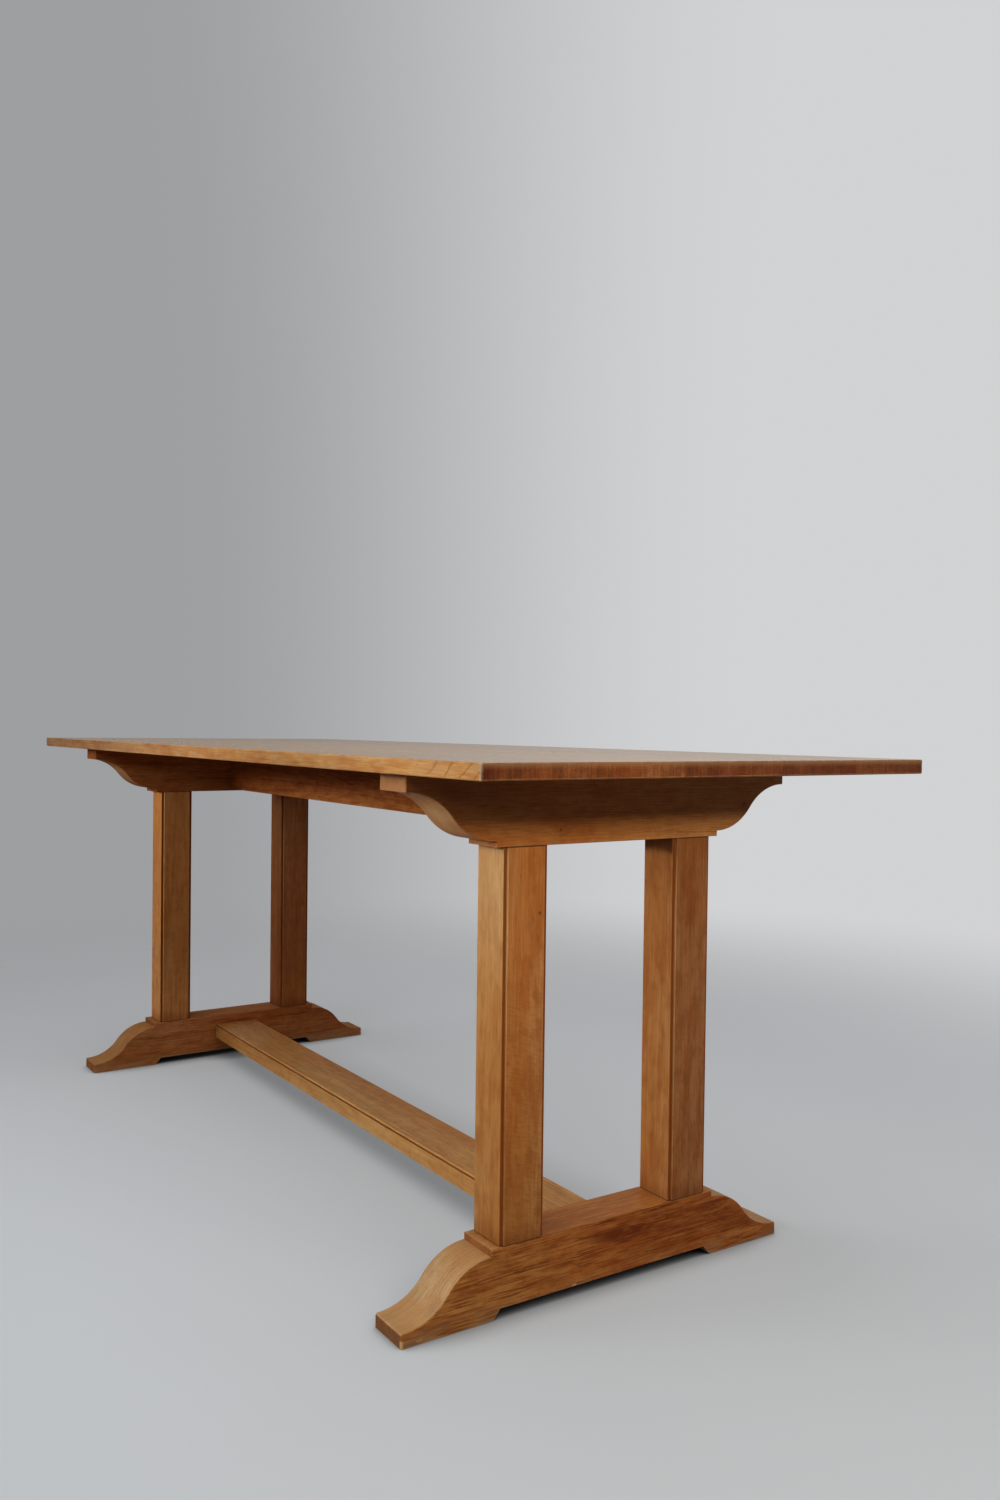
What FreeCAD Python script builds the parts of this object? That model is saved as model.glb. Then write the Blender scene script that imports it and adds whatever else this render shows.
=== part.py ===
import FreeCAD, Part
import math
import os

# Trestle dining table in solid oak: a top of jointed boards on two ogee trestles,
# tied by a low stretcher between the feet and by a rail under the top.
# Millimetres, +Z up. The origin is on the floor, midway between the trestles.
# X runs along the table with the right trestle at +X, and the front is the -Y side.

# Top
table_height = 750.0
top_length = 1954.0
top_width = 744.0
top_thickness = 20.0
top_corner_radius = 4.0
top_edge_radius = 1.8
top_lower_chamfer = 1.2
board_width_shares = (0.202, 0.195, 0.226, 0.185, 0.192)

# Loose tongues glued into the edges of the boards, stopped short of the ends
tongue_thickness = 6.0
tongue_width = 24.0
tongue_end_margin = 80.0
tongue_clearance = 0.1

# Trestles: feet, posts and bearers share one thickness, so that their faces are flush,
# and the top overhangs them at each end
end_overhang = 230.5
trestle_thickness = 70.0
arris_radius = 1.2
arris_chamfer = 1.0
ogee_rise = 67.3
post_seat_margin = 13.7

# Feet
foot_length = 667.0
toe_height = 18.7
toe_radius = 3.0
foot_step = 9.7
relief_height = 14.0
relief_length = 390.0
relief_splay = 12.3

# Bearers
bearer_length = 670.0
bearer_tip_height = 25.0
bearer_tip_radius = 1.5
bearer_step = 7.9

# Posts: a raised field on both wide faces leaves a ledge along each long edge
post_spacing = 296.8
post_width = 71.4
post_ledge_width = 5.5
post_field_relief = 3.5
post_tenon_thickness = 24.0
post_tenon_width = 50.0
post_tenon_length = 55.0

# Stretcher: its raised field leaves a ledge along both top edges
stretcher_height = 44.0
stretcher_width = 103.0
stretcher_thickness = 31.5
stretcher_ledge_width = 5.0
stretcher_field_relief = 4.0
stretcher_tenon_thickness = 14.0
stretcher_tenon_width = 70.0
stretcher_tenon_length = 24.0

# Centre rail
rail_thickness = 37.0
rail_depth = 96.0
rail_tenon_thickness = 14.0
rail_tenon_depth = 56.0
rail_tenon_length = 24.0

# Mortises, larger than their tenons
mortise_clearance = 0.15
mortise_end_gap = 2.0

# Slotted screws that hold the top down, in counterbores from below
screw_diameter = 5.0
screw_head_diameter = 9.6
screw_head_height = 3.2
screw_head_crown = 6.4
screw_point_length = 4.0
screw_slot_width = 1.4
screw_slot_depth = 1.5
screw_bite = 14.0
screw_hole_clearance = 0.3
pilot_clearance = 0.1
pilot_end_gap = 1.0
counterbore_diameter = 13.0
tip_screw_inset = 20.0
tip_screw_grip = 17.0
tip_screw_travel = 5.0
rail_screw_grip = 36.0
rail_screw_pitch = 480.0
rail_screw_count = 3

# How far a cutting shape passes the faces that it opens
overrun = 2.0

# Heights and places that follow from the sizes above
top_underside = table_height - top_thickness
trestle_spacing = top_length - trestle_thickness - end_overhang - end_overhang
foot_height = toe_height + ogee_rise + foot_step
bearer_depth = bearer_tip_height + ogee_rise + bearer_step
bearer_underside = top_underside - bearer_depth
post_seat_half = (post_spacing + post_width) / 2 + post_seat_margin
half_span = (trestle_spacing - trestle_thickness) / 2
rail_underside = top_underside - rail_depth
sides = {"right": 1, "left": -1}
rows = {"front": -1, "back": 1}


def vector(x, y, z):
    return FreeCAD.Vector(x, y, z)


def box(low, high):
    """Upright box between two opposite corners."""
    size = vector(*high) - vector(*low)
    return Part.makeBox(size.x, size.y, size.z, vector(*low))


def centred_box(middle, size):
    """Upright box of the given size about its middle point."""
    half = vector(*size) / 2
    return box(vector(*middle) - half, vector(*middle) + half)


def grown(size, margin):
    """The size with the margin added all round."""
    return tuple(length + margin + margin for length in size)


def extruded(corners, direction):
    """Prism on an outline of (point, radius) corners, each corner rounded by its radius."""
    edges = []
    ends = []
    for index, (point, radius) in enumerate(corners):
        before = corners[index - 1][0] - point
        after = corners[(index + 1) % len(corners)][0] - point
        before.normalize()
        after.normalize()
        if radius == 0:
            ends.append((point, point))
            continue
        half_angle = before.getAngle(after) / 2
        bisector = (before + after).normalize()
        start = point + before * (radius / math.tan(half_angle))
        finish = point + after * (radius / math.tan(half_angle))
        crest = point + bisector * (radius / math.sin(half_angle) - radius)
        edges.append(Part.Arc(start, crest, finish).toShape())
        ends.append((start, finish))
    for index in range(len(ends)):
        edges.append(Part.makeLine(ends[index - 1][1], ends[index][0]))
    return Part.Face(Part.Wire(Part.__sortEdges__(edges))).extrude(direction)


def fielded_corners(half_width, half_height, ledge, relief, both_faces, place):
    """Corners of a section with a raised field on its upper face, or on both faces."""
    upper = [(half_width, half_height - relief), (half_width - ledge, half_height - relief),
             (half_width - ledge, half_height)]
    upper = [(across, up, arris_radius if index != 1 else 0) for index, (across, up) in enumerate(upper)]
    upper += [(-across, up, radius) for across, up, radius in reversed(upper)]
    if both_faces:
        lower = [(-across, -up, radius) for across, up, radius in upper]
    else:
        lower = [(-half_width, -half_height, arris_radius), (half_width, -half_height, arris_radius)]
    return [(place(across, up), radius) for across, up, radius in upper + lower]


def ogee(start, finish):
    """Two equal tangent arcs in a YZ plane, level at both ends: hollow first, then round."""
    run = finish.y - start.y
    rise = finish.z - start.z
    radius = (run * run + rise * rise) / (rise + rise) / 2
    turn = math.atan2(rise, abs(run))
    offset = vector(0, math.copysign(radius * math.sin(turn), run), radius - radius * math.cos(turn))
    middle = (start + finish) / 2
    return [Part.Arc(start, start + offset, middle).toShape(),
            Part.Arc(middle, finish - offset, finish).toShape()]


def ogee_block(length, tip_height, tip_radius, step_height):
    """Foot-shaped block standing on z = 0: an ogee climbs from each tip to a step and a level seat."""
    seat_height = tip_height + ogee_rise + step_height
    edges = []
    for side in rows.values():
        tip = side * length / 2
        seat = side * post_seat_half
        level = vector(0, tip - side * tip_radius, tip_height)
        crest = vector(0, tip, tip_height) + vector(0, -side, -1) * (tip_radius - tip_radius / math.sqrt(2))
        edges.append(Part.makeLine(vector(0, 0, 0), vector(0, tip, 0)))
        edges.append(Part.makeLine(vector(0, tip, 0), vector(0, tip, tip_height - tip_radius)))
        edges.append(Part.Arc(vector(0, tip, tip_height - tip_radius), crest, level).toShape())
        edges += ogee(level, vector(0, seat, tip_height + ogee_rise))
        edges.append(Part.makeLine(vector(0, seat, tip_height + ogee_rise), vector(0, seat, seat_height)))
        edges.append(Part.makeLine(vector(0, seat, seat_height), vector(0, 0, seat_height)))
    outline = Part.Wire(Part.__sortEdges__(edges))
    block = Part.Face(outline).extrude(vector(trestle_thickness, 0, 0)).removeSplitter()
    block.translate(vector(-trestle_thickness / 2, 0, 0))
    rim = [edge for edge in block.Edges
           if edge.BoundBox.XLength < arris_chamfer and edge.BoundBox.ZMax > arris_chamfer]
    return block.makeChamfer(arris_chamfer, rim)


def post_centres(side):
    """Middle of each post of one trestle, at floor level."""
    return [vector(side * trestle_spacing / 2, row * post_spacing / 2, 0) for row in rows.values()]


def post_tenon_size():
    return post_tenon_thickness, post_tenon_width, post_tenon_length + post_tenon_length


def rail_tenon_middle(side):
    """Middle of the rail's end on the bearer's inner face."""
    return side * half_span, 0, top_underside - rail_depth / 2


def stretcher_tenon_middle(side):
    """Middle of the stretcher's end on the foot's inner face."""
    return side * half_span, 0, stretcher_height + stretcher_thickness / 2


def stretcher_tenon_size():
    return stretcher_tenon_length + stretcher_tenon_length, stretcher_tenon_width, stretcher_tenon_thickness


def rail_tenon_size():
    return rail_tenon_length + rail_tenon_length, rail_tenon_thickness, rail_tenon_depth


def mortise(middle, size, depth_axis):
    """Cutting box for a tenon that is centred on the face it enters."""
    margins = [mortise_clearance, mortise_clearance, mortise_clearance]
    margins[depth_axis] = mortise_end_gap
    return centred_box(middle, [length + margin + margin for length, margin in zip(size, margins)])


def tip_screw_places(side):
    reach = bearer_length / 2 - tip_screw_inset
    return [vector(side * trestle_spacing / 2, row * reach, 0) for row in rows.values()]


def rail_screw_places():
    first = -rail_screw_pitch * (rail_screw_count - 1) / 2
    return [vector(first + index * rail_screw_pitch, 0, 0) for index in range(rail_screw_count)]


def screw_hole(place, grip, underside, travel):
    """Cutting shape for one screw: a counterbore from below and a clearance hole, or slot, up to the top."""
    seat = vector(place.x, place.y, top_underside - grip)
    floor_depth = seat.z - underside + overrun
    hole_radius = screw_diameter / 2 + screw_hole_clearance
    up = vector(0, 0, 1)
    cutter = Part.makeCylinder(counterbore_diameter / 2, floor_depth, seat - up * floor_depth, up)
    for end in rows.values():
        centre = seat + vector(0, end * travel / 2, 0)
        cutter = cutter.fuse(Part.makeCylinder(hole_radius, grip + overrun, centre, up))
    if travel > 0:
        middle = seat + up * (grip + overrun) / 2
        cutter = cutter.fuse(centred_box(middle, (hole_radius + hole_radius, travel, grip + overrun)))
    return cutter


def pilot_hole(place):
    """Blind hole in the underside of the top for one screw."""
    radius = screw_diameter / 2 + pilot_clearance
    depth = screw_bite + pilot_end_gap + overrun
    start = vector(place.x, place.y, top_underside - overrun)
    return Part.makeCylinder(radius, depth, start, vector(0, 0, 1))


def screw(place, grip):
    """Slotted screw, pointing up, with the underside of its tapered head on the counterbore's floor."""
    length = grip + screw_bite
    shank = screw_diameter / 2
    points = [vector(0, 0, -screw_head_height), vector(screw_head_crown / 2, 0, -screw_head_height),
              vector(screw_head_diameter / 2, 0, 0), vector(shank, 0, 0),
              vector(shank, 0, length - screw_point_length), vector(0, 0, length)]
    section = Part.Face(Part.makePolygon(points + points[:1]))
    body = section.revolve(vector(0, 0, 0), vector(0, 0, 1), 360)
    slot_middle = vector(0, 0, -screw_head_height)
    slot_size = (screw_head_diameter + overrun, screw_slot_width, screw_slot_depth + screw_slot_depth)
    body = body.cut(centred_box(slot_middle, slot_size))
    body.translate(vector(place.x, place.y, top_underside - grip))
    return body


def make_feet():
    feet = {}
    for name, side in sides.items():
        foot = ogee_block(foot_length, toe_height, toe_radius, foot_step)
        floor_half = relief_length / 2
        relief = [(vector(-trestle_thickness, -floor_half - relief_splay, -relief_height), 0),
                  (vector(-trestle_thickness, floor_half + relief_splay, -relief_height), 0),
                  (vector(-trestle_thickness, floor_half - relief_splay, relief_height), 0),
                  (vector(-trestle_thickness, relief_splay - floor_half, relief_height), 0)]
        foot = foot.cut(extruded(relief, vector(trestle_thickness + trestle_thickness, 0, 0)))
        foot.translate(vector(side * trestle_spacing / 2, 0, 0))
        for centre in post_centres(side):
            foot = foot.cut(mortise(centre + vector(0, 0, foot_height), post_tenon_size(), 2))
        foot = foot.cut(mortise(stretcher_tenon_middle(side), stretcher_tenon_size(), 0))
        feet[name + "_foot"] = foot
    return feet


def make_bearers():
    bearers = {}
    for name, side in sides.items():
        bearer = ogee_block(bearer_length, bearer_tip_height, bearer_tip_radius, bearer_step)
        bearer.rotate(vector(0, 0, 0), vector(1, 0, 0), 180)
        bearer.translate(vector(side * trestle_spacing / 2, 0, top_underside))
        for centre in post_centres(side):
            bearer = bearer.cut(mortise(centre + vector(0, 0, bearer_underside), post_tenon_size(), 2))
        bearer = bearer.cut(mortise(rail_tenon_middle(side), rail_tenon_size(), 0))
        for place in tip_screw_places(side):
            bearer = bearer.cut(screw_hole(place, tip_screw_grip, bearer_underside, tip_screw_travel))
        bearers[name + "_bearer"] = bearer
    return bearers


def make_posts():
    posts = {}
    corners = fielded_corners(post_width / 2, trestle_thickness / 2, post_ledge_width, post_field_relief,
                              True, lambda across, up: vector(up, across, foot_height))
    shaft = extruded(corners, vector(0, 0, bearer_underside - foot_height))
    for shoulder in (foot_height, bearer_underside):
        shaft = shaft.fuse(centred_box((0, 0, shoulder), post_tenon_size()))
    for name, side in sides.items():
        for row, centre in zip(rows, post_centres(side)):
            posts[name + "_" + row + "_post"] = shaft.removeSplitter().translated(centre)
    return posts


def make_stretcher():
    middle = stretcher_height + stretcher_thickness / 2
    corners = fielded_corners(stretcher_width / 2, stretcher_thickness / 2, stretcher_ledge_width,
                              stretcher_field_relief, False,
                              lambda across, up: vector(-half_span, across, middle + up))
    board = extruded(corners, vector(half_span + half_span, 0, 0))
    for side in sides.values():
        board = board.fuse(centred_box(stretcher_tenon_middle(side), stretcher_tenon_size()))
    return {"stretcher": board.removeSplitter()}


def make_rail():
    corners = []
    for y, z, radius in ((-rail_thickness / 2, rail_underside, arris_radius),
                         (rail_thickness / 2, rail_underside, arris_radius),
                         (rail_thickness / 2, top_underside, 0),
                         (-rail_thickness / 2, top_underside, 0)):
        corners.append((vector(-half_span, y, z), radius))
    rail = extruded(corners, vector(half_span + half_span, 0, 0))
    for side in sides.values():
        rail = rail.fuse(centred_box(rail_tenon_middle(side), rail_tenon_size()))
    for place in rail_screw_places():
        rail = rail.cut(screw_hole(place, rail_screw_grip, rail_underside, 0))
    return {"centre_rail": rail.removeSplitter()}


def make_top():
    """The boards of the top, sawn from one slab with eased edges, and the tongues that join them."""
    slab = centred_box((0, 0, table_height - top_thickness / 2), (top_length, top_width, top_thickness))
    uprights = [edge for edge in slab.Edges if edge.BoundBox.ZLength > top_thickness / 2]
    slab = slab.makeFillet(top_corner_radius, uprights)
    upper = [edge for edge in slab.Edges if edge.BoundBox.ZMin > table_height - top_thickness / 2]
    slab = slab.makeFillet(top_edge_radius, upper)
    lower = [edge for edge in slab.Edges if edge.BoundBox.ZMax < table_height - top_thickness / 2]
    slab = slab.makeChamfer(top_lower_chamfer, lower)
    joints = [-top_width / 2]
    for share in board_width_shares:
        joints.append(joints[-1] + share * top_width)
    tongue_middles = [vector(0, joint, table_height - top_thickness / 2) for joint in joints[1:-1]]
    tongue_size = (top_length - tongue_end_margin - tongue_end_margin, tongue_width, tongue_thickness)
    screws = rail_screw_places()
    for side in sides.values():
        screws += tip_screw_places(side)
    pieces = {}
    for index, (front, back) in enumerate(zip(joints, joints[1:])):
        strip = box((-top_length, front, top_underside - overrun), (top_length, back, table_height + overrun))
        board = slab.common(strip)
        for middle in tongue_middles:
            board = board.cut(centred_box(middle, grown(tongue_size, tongue_clearance)))
        for place in screws:
            board = board.cut(pilot_hole(place))
        pieces["top_board_" + str(index + 1)] = board
    for index, middle in enumerate(tongue_middles):
        pieces["top_tongue_" + str(index + 1)] = centred_box(middle, tongue_size)
    return pieces


def make_screws():
    tips = [screw(place, tip_screw_grip) for side in sides.values() for place in tip_screw_places(side)]
    rails = [screw(place, rail_screw_grip) for place in rail_screw_places()]
    return {"bearer_screws": Part.makeCompound(tips), "rail_screws": Part.makeCompound(rails)}


def main():
    os.makedirs("parts", exist_ok=True)
    for make in (make_top, make_bearers, make_posts, make_feet, make_stretcher, make_rail, make_screws):
        for name, shape in make().items():
            print(name, len(shape.Solids), "valid" if shape.isValid() else "not valid", round(shape.Volume))
            shape.exportStep("parts/" + name + ".step")


main()
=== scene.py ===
"""Dresses the oak trestle table in waxed oak and dulled steel, with soft light and a pale floor."""

import math
from collections import namedtuple
from types import SimpleNamespace

import bmesh
import bpy
from mathutils import Matrix, Vector

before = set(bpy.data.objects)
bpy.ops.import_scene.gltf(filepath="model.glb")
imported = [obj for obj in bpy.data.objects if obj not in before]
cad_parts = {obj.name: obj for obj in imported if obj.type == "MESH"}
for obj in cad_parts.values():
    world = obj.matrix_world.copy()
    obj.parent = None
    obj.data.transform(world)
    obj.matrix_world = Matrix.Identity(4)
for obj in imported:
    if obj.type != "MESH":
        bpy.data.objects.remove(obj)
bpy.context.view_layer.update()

# Colours are linear, with an alpha of 1 where a socket takes four values. Lengths are in metres, in the
# table's own frame. A pair of levels is where a value starts and stops to rise, or to fall. Two more numbers
# are what it goes from and to.

# Camera.
CAMERA_PLACE = (2.07057, -1.07139, 0.78878)
CAMERA_FORWARD = (-0.83352, 0.55216, -0.01900)
CAMERA_RIGHT = (0.55202, 0.83374, 0.01222)
CAMERA_FOCAL_PIXELS = 1207.5
CAMERA_CLIP = (0.05, 100.0)
IMAGE_LONG_SIDE = 1500
SENSOR_LONG_SIDE = 36.0

# Floor. It fades into the backdrop, and darkens close to what stands on it.
FLOOR_RADIUS = 14.0
FLOOR_SIDES = 96
FLOOR_DROP = 0.0003
FLOOR_FADE = (0.95, 3.4)
FLOOR_SHADE_REACH = 0.06
FLOOR_SHADE_SAMPLES = 16
FLOOR_SHADE = (0.05, 0.95)
FLOOR_SEEN = (0.60, 0.635, 0.68, 1.0)
FLOOR_BOUNCE = (0.22, 0.215, 0.21, 1.0)
FLOOR_GLOW = (0.50, 0.505, 0.515, 1.0)
FLOOR_GLOW_SHARE = 0.50
BLACK = (0.0, 0.0, 0.0, 1.0)

# Backdrop, as it is seen, and the ambient light, from low to high.
BACKDROP_DIM = (0.34, 0.345, 0.354, 1.0)
BACKDROP_BRIGHT = (0.64, 0.645, 0.652, 1.0)
BACKDROP_SIDE = (0.552, 0.834, 0.0)
BACKDROP_SPAN = (-0.27, 0.20)
AMBIENT_LOW = (0.042, 0.043, 0.047, 1.0)
AMBIENT_HIGH = (0.20, 0.20, 0.205, 1.0)
AMBIENT_SPAN = (-0.1, 0.8)

# Lamps: the size is in metres and the spread in degrees.
Lamp = namedtuple("Lamp", "name place target size watts colour spread")
LAMPS = (
    Lamp("window", (0.75, -2.3, 1.36), (0.7, -0.1, 0.65), (1.2, 0.4), 4.9, (0.86, 1.0, 1.04), 95.0),
    Lamp("camera_side", (2.1, -2.5, 1.60), (0.7, -0.1, 0.5), (1.5, 0.6), 12.8, (1.0, 0.96, 0.94), 180.0),
    Lamp("fill", (2.25, 0.05, 1.17), (0.75, 0.0, 0.5), (1.3, 0.18), 6.5, (1.0, 0.88, 0.68), 120.0),
    Lamp("left", (-2.2, -2.7, 1.25), (0.7, -0.1, 0.75), (2.2, 0.5), 5.0, (0.95, 1.0, 1.06), 60.0),
    Lamp("left_near", (-0.9, -2.8, 1.18), (0.7, -0.1, 0.6), (1.4, 0.22), 8.0, (1.0, 1.02, 0.94), 80.0),
    Lamp("above", (0.0, -0.2, 3.2), (0.0, 0.0, 0.7), (2.4, 1.6), 9.0, (1.0, 1.0, 1.0), 120.0),
    Lamp("back", (0.6, 3.6, 2.2), (0.0, 0.0, 0.4), (3.0, 1.6), 24.0, (1.0, 1.0, 1.0), 180.0),
)

# Colours of the oak, and of what lies on it.
PALE = (0.62, 0.330, 0.112, 1.0)
GOLD = (0.51, 0.215, 0.052, 1.0)
BROWN = (0.23, 0.068, 0.013, 1.0)
RUSSET = (0.40, 0.125, 0.022, 1.0)
STRAW = (0.66, 0.430, 0.190, 1.0)
FLAME = (0.17, 0.045, 0.009, 1.0)
PORE = (0.09, 0.025, 0.006, 1.0)
END_LINE = (0.060, 0.018, 0.005, 1.0)
WORN = (0.68, 0.420, 0.190, 1.0)
RUBBED = (0.42, 0.245, 0.120, 1.0)
# Paler upper face of the top: partly bleaching, partly painted sheen.
BLEACHED_AND_SHEEN = (0.39, 0.300, 0.152, 1.0)
CORNER_WORN = (0.60, 0.46, 0.28, 1.0)
FOOT_TOP = (0.52, 0.225, 0.058, 1.0)
SHEEN = (0.66, 0.46, 0.25, 1.0)
# Dark grime for joints, and painted shade in the corners.
GRIME_AND_SHADE = (0.05, 0.018, 0.006, 1.0)
DUST = (0.36, 0.240, 0.130, 1.0)
LEDGE_WAX = (0.21, 0.046, 0.006, 1.0)

# Colours that the oak's own is multiplied by.
# Painted shade towards the floor, on the front posts.
POST_SHADE = (0.62, 0.50, 0.42, 1.0)
BASE_SHADE = (0.66, 0.56, 0.50, 1.0)
UPRIGHT_SHADE = (0.68, 0.62, 0.57, 1.0)
EDGE_FAR = (0.68, 0.64, 0.62, 1.0)
FOOT_GOLDEN = (1.04, 1.20, 1.40, 1.0)
FOOT_RUDDY = (0.94, 0.88, 0.86, 1.0)
# Painted shadow of a bearer across the top of a post.
BEARER_SHADOW = (0.50, 0.44, 0.40, 1.0)

# Colours of the screws.
STEEL = (0.34, 0.33, 0.32, 1.0)
STEEL_BROWN = (0.13, 0.085, 0.055, 1.0)

# A layer of noise: how fast it changes along the fibres, across them and up, per metre, a number that sets it
# apart from the other layers, its detail, roughness and distortion, and its levels. Without levels it stays
# as it is.
Layer = namedtuple("Layer", "scale offset detail roughness distortion rise", defaults=(2.0, 0.5, 0.0, None))
WARP = Layer((2.6, 24.0, 24.0), 3.1)
PORES = Layer((65.0, 1500.0, 1500.0), 7.3, 1.0, rise=(0.54, 0.66))
RAYS = Layer((36.0, 26.0, 480.0), 9.7, 1.0, 0.5, 0.2, (0.54, 0.70))
STREAKS = Layer((2.2, 70.0, 70.0), 11.9, 3.0, 0.62, rise=(0.42, 0.68))
BROAD = Layer((1.3, 9.0, 9.0), 13.3)
THREADS = Layer((7.0, 210.0, 210.0), 15.7, 2.0, 0.6, rise=(0.44, 0.70))
SILK = Layer((9.0, 520.0, 520.0), 17.1, 2.0, 0.6)
PATCHY = Layer((14.0, 60.0, 60.0), 19.0, rise=(0.30, 0.62))
MOTTLE = Layer((40.0, 60.0, 60.0), 21.1, 2.0, 0.55)
DASHES = Layer((25.0, 520.0, 520.0), 23.9, rise=(0.50, 0.58))
RIPPLE = Layer((400.0, 55.0, 55.0), 25.3, 2.0, 0.5, 0.4, (0.45, 0.64))
FLAMES = Layer((12.0, 95.0, 95.0), 27.7, 5.0, 0.68, 0.5, (0.40, 0.58))
BLUSH = Layer((17.0, 52.0, 52.0), 29.3, 3.0, 0.55)
CUT_LINES = Layer((4.0, 430.0, 24.0), 31.0, 1.0, rise=(0.42, 0.60))
CUT_CLOUD = Layer((4.0, 30.0, 60.0), 33.0, 3.0, 0.6, rise=(0.38, 0.62))
CUT_BLOTCH = Layer((24.0, 34.0, 34.0), 35.0, 3.0, 0.6, rise=(0.35, 0.62, 0.62, 1.0))
RAGGED = Layer((220.0, 220.0, 220.0), 37.0)
FLECKS = Layer((26.0, 150.0, 150.0), 39.0, 3.0, 0.6, rise=(0.50, 0.64, 0.0, 0.55))
WOBBLE = Layer((30.0, 30.0, 30.0), 40.0)
TARNISH = Layer((420.0, 420.0, 420.0), 2.0, 3.0)
SCRATCHES = Layer((3800.0, 300.0, 300.0), 5.0, 1.0)
SEED_SHIFT = (1.7, 0.9, 1.3)

# Growth. The pith sways from a straight line by the drift, and the rings' pace varies with the radius.
GRAIN_ORDER = {"x": (0, 1, 2), "y": (1, 0, 2), "z": (2, 0, 1)}
DRIFT = 0.028
DRIFT_RATE = 1.3
WARP_DEPTH = 1.6
PACE_RATE = 55.0
PACE_OFFSET = 5.0
PACE_DEPTH = 2.4
RING_STOPS = ((0.0, 1.0), (0.10, 0.85), (0.38, 0.22), (0.72, 0.0), (0.96, 0.12), (1.0, 1.0))
PORES_OF_EARLY = 0.8
PORES_EVERYWHERE = 0.2
RAY_RADIUS = 0.16
RADIAL_CUT = (0.72, 0.96)
RIPPLE_SLANT = 0.35
RIPPLE_FACING = (0.5, 0.9, 0.1, 1.0)
RIPPLE_FADE = (0.52, 0.36, 0.15, 1.0)

# How strongly the layers colour the oak.
BROAD_RISE = (0.36, 0.66)
BLUSH_RISE = (0.44, 0.62)
SILK_RISE = (0.38, 0.70, 0.0, 0.28)
MOTTLE_RISE = (0.46, 0.70, 0.0, 0.24)
STREAK_DEPTH = 0.85
EARLY_DEPTH = 0.50
THREAD_DEPTH = 0.45
DASHES_OF_STREAKS = 0.5
FLAMES_EVERYWHERE = 0.25
PORE_DEPTH = 0.14
PORE_DEPTH_OF_DASH = 0.46
RAY_DEPTH = 0.22
HEART_DEPTH = 0.85

# Finish: reflection at right angles, roughness of the sides, and roughness of the faces that look up.
Shine = namedtuple("Shine", "specular rough rough_above")
TOP_SHINE = Shine(0.24, 0.55, 0.16)
FRAME_SHINE = Shine(0.17, 0.50, 0.46)
DULL_SHINE = Shine(0.05, 0.66, 0.58)
ABOVE_FACING = (0.7, 0.95)
BROAD_ROUGH = 0.10
PORE_ROUGH = 0.15
SILK_HEIGHT = 0.5
EARLY_HEIGHT = -0.25
PORE_HEIGHT = -0.6
BUMP_STRENGTH = 0.35
BUMP_DISTANCE = 0.0005
WAX_IOR = 1.45
TARNISH_RISE = (0.42, 0.68)
TARNISH_ROUGH = (0.3, 0.7, 0.28, 0.5)
SCRATCH_ROUGH = 0.25
SCRATCH_STRENGTH = 0.25
SCRATCH_DISTANCE = 0.0001

# How the colour changes where the cut crosses the grain: strength, colour, how it is laid on, and how plain
# the fine lines of the cut fibres are. On a foot the cut covers the whole ogee.
End = namedtuple("End", "strength tint blend lines")
DARK_END = End(1.0, (0.61, 0.44, 0.54, 1.0), "MULTIPLY", 0.62)
SHADED_END = End(1.0, (0.42, 0.26, 0.29, 1.0), "MULTIPLY", 0.62)
RUBBED_END = End(0.80, (0.57, 0.365, 0.180, 1.0), "MIX", 0.40)
BROWN_END = End(0.55, (0.43, 0.245, 0.098, 1.0), "MIX", 0.30)
WORN_END = End(0.40, (0.48, 0.320, 0.160, 1.0), "MIX", 0.36)
BARE_END = End(0.2, (0.62, 0.420, 0.220, 1.0), "MIX", 0.2)
CUT_FACING = (0.25, 0.80)
CUT_SLOPE = (0.15, 0.45, 0.16, 1.0)
CUT_LINES_SHARE = 0.55
CUT_CLOUD_SHARE = 0.45
OGEE_SPAN = (0.185, 0.197)
OGEE_FACING = (0.75, 0.35)

# Wear, wax and dirt, and painted shade in the corners.
SIDE_FACING = (0.6, 0.9)
ARRIS_REACH = 0.0032
ARRIS_SAMPLES = 6
ARRIS_SPAN = (0.85, 0.45)
TOP_WEAR = 0.8
FRAME_WEAR = 0.36
NOOK_REACH = 0.006
NOOK_SAMPLES = 8
NOOK_SPAN = (0.60, 0.22)
NOOK_DIRT_AND_SHADE = 0.5
MARK_CORE = 0.4

# The top: the joints between its boards, its long edges, corners, upper face and ends.
TOP_HALF = (0.977, 0.372)
BOARD_JOINTS = (-0.2217, -0.0766, 0.0915, 0.2292)
BOARD_LINE = (0.0009, 0.00027, 0.0, 0.5)
UNWORN_JOINT = (0.003, 0.006)
EDGE_STRAW = 0.30
EDGE_FAR_SPAN = (0.98, -0.98)
CORNER_RAGGED = 0.005
CORNER_SPAN = (0.0066, 0.0036, 0.0, 0.85)
# Where the top's upper face is paler: partly bleaching, partly painted sheen.
BLEACH_AND_SHEEN_FACING = (0.90, 0.98, 0.0, 0.44)
RUBBED_HIGH = (0.7410, 0.7495, 0.0, 0.42)
RUBBED_LOW = (0.7328, 0.7308, 0.0, 0.32)
RUN_OUT_SLANT = 1.4
RUN_OUT_PITCH = 0.036
RUN_OUT_WOBBLE = 1.1
RUN_OUT_SPAN = (0.84, 0.89)
RUN_OUT_FACING = (-0.7, -0.9)
RUN_OUT_STOPS = ((0.0, 0.80), (0.06, 0.40), (0.15, 0.0), (0.89, 0.0), (0.96, 0.40), (1.0, 0.80))

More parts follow.
